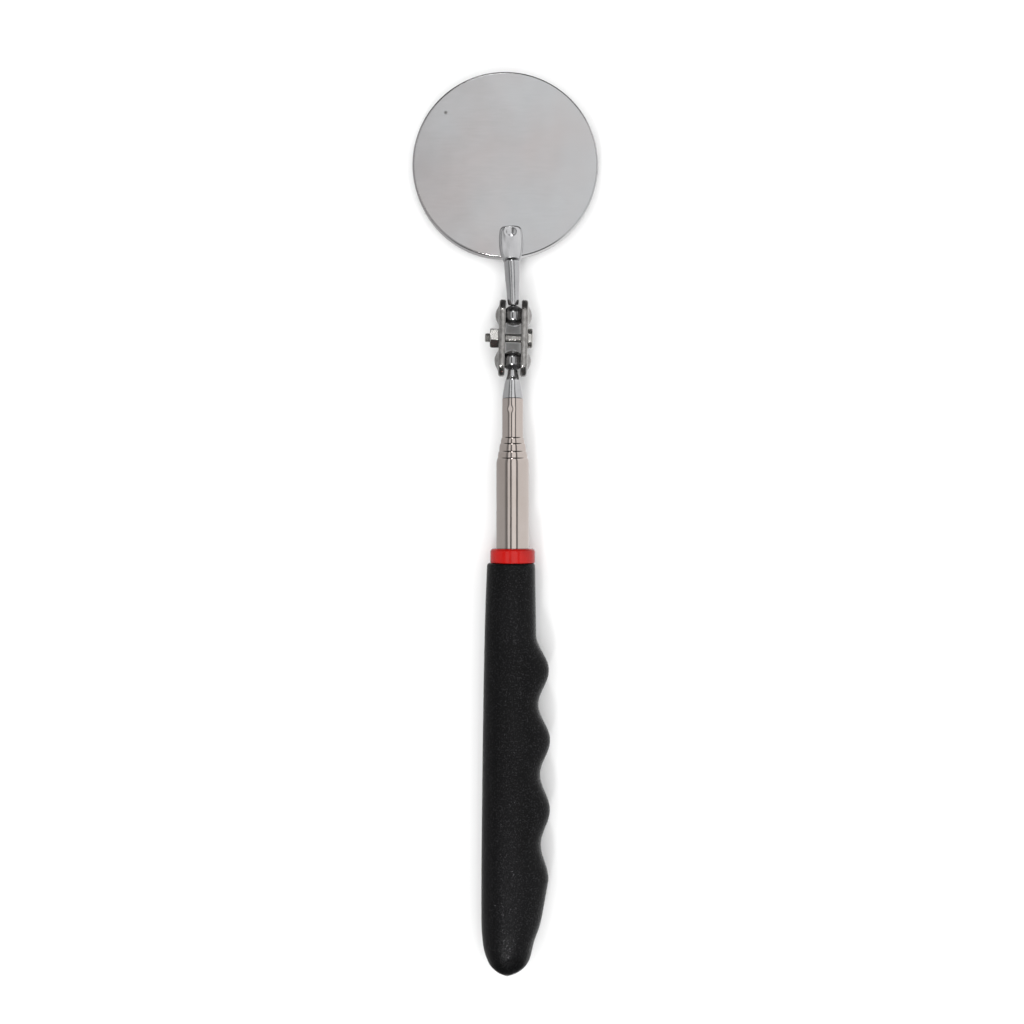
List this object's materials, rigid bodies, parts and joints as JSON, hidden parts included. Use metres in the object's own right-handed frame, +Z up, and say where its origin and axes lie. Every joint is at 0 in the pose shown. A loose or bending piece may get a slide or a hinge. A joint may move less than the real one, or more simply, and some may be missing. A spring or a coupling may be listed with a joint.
{
  "type": "telescoping inspection mirror",
  "caption": "Round back-cased inspection mirror on a double ball clamp and a telescoping tube, with a moulded finger grip.",
  "frame": {"origin": "on the surface the tool lies on, under the centre of its bounding box", "axes": "+Y from the grip towards the mirror along the tubes, +Z up from the resting surface, +X the side of the finger bumps"},
  "size_m": [0.05, 0.2426, 0.0136],
  "materials": {
    "grip_rubber": "matt pebbled black vinyl rubber",
    "collar_red": "smooth red plastic",
    "tube_nickel": "bright warm nickel plate",
    "stem_chrome": "bright chrome plate",
    "plate_steel": "plated pressed steel with sheared edges",
    "screw_steel": "bright zinc-plated steel",
    "case_steel": "polished drawn steel with fine rubbing marks",
    "mirror_glass": "silvered float glass",
    "spring_bronze": "rolled spring bronze",
    "pad_fibre": "soft grey-brown fibre board",
    "plug_nylon": "natural nylon"
  },
  "bodies": {
    "handle": {"grip": "grip_rubber", "grip_collar": "collar_red", "tube_1": "tube_nickel", "tube_end_plug": "plug_nylon"},
    "section_2": {"tube_2": "tube_nickel", "friction_sleeve_2": "spring_bronze"},
    "section_3": {"tube_3": "tube_nickel", "friction_sleeve_3": "spring_bronze"},
    "section_4": {"tube_4": "tube_nickel", "friction_sleeve_4": "spring_bronze"},
    "sleeve_5": {"friction_sleeve_5": "spring_bronze"},
    "section_5": {"tube_5": "tube_nickel", "tip_ball_stem": "stem_chrome"},
    "lower_ball": {"lower_ball": "stem_chrome"},
    "clamp": {"clamp_plate_left": "plate_steel", "clamp_plate_right": "plate_steel", "clamp_screw": "screw_steel", "clamp_nut": "screw_steel"},
    "upper_ball": {"upper_ball": "stem_chrome"},
    "mirror": {"mirror_stem": "stem_chrome", "mirror_case": "case_steel", "backing_pad": "pad_fibre", "mirror_glass": "mirror_glass"}
  },
  "joints": [
    {"name": "extend_2", "type": "slide", "parent": "handle", "child": "section_2", "axis": [0, 1, 0], "range_m": [0, 0.108]},
    {"name": "extend_3", "type": "slide", "parent": "section_2", "child": "section_3", "axis": [0, 1, 0], "range_m": [0, 0.108]},
    {"name": "extend_4", "type": "slide", "parent": "section_3", "child": "section_4", "axis": [0, 1, 0], "range_m": [0, 0.108]},
    {"name": "extend_5", "type": "slide", "parent": "section_4", "child": "sleeve_5", "axis": [0, 1, 0], "range_m": [0, 0.108]},
    {"name": "tube_swivel", "type": "hinge", "parent": "sleeve_5", "child": "section_5", "pos_m": [0.00201, 0, 0.0068], "axis": [0, 1, 0], "continuous": true},
    {"name": "lower_lean", "type": "hinge", "parent": "section_5", "child": "lower_ball", "pos_m": [0.00201, 0.04329, 0.0068], "axis": [0, 0, 1], "range_deg": [-2.7, 5.3]},
    {"name": "lower_tilt", "type": "hinge", "parent": "lower_ball", "child": "clamp", "pos_m": [0.00201, 0.04329, 0.0068], "axis": [0.9997, -0.0227, 0], "range_deg": [-110, 110]},
    {"name": "upper_tilt", "type": "hinge", "parent": "clamp", "child": "upper_ball", "pos_m": [0.00228, 0.05528, 0.0068], "axis": [-0.9997, 0.0227, 0], "range_deg": [-135, 135]},
    {"name": "mirror_spin", "type": "hinge", "parent": "upper_ball", "child": "mirror", "pos_m": [0.00228, 0.05528, 0.0068], "axis": [-0.0349, 0.9994, 0], "continuous": true}
  ]
}
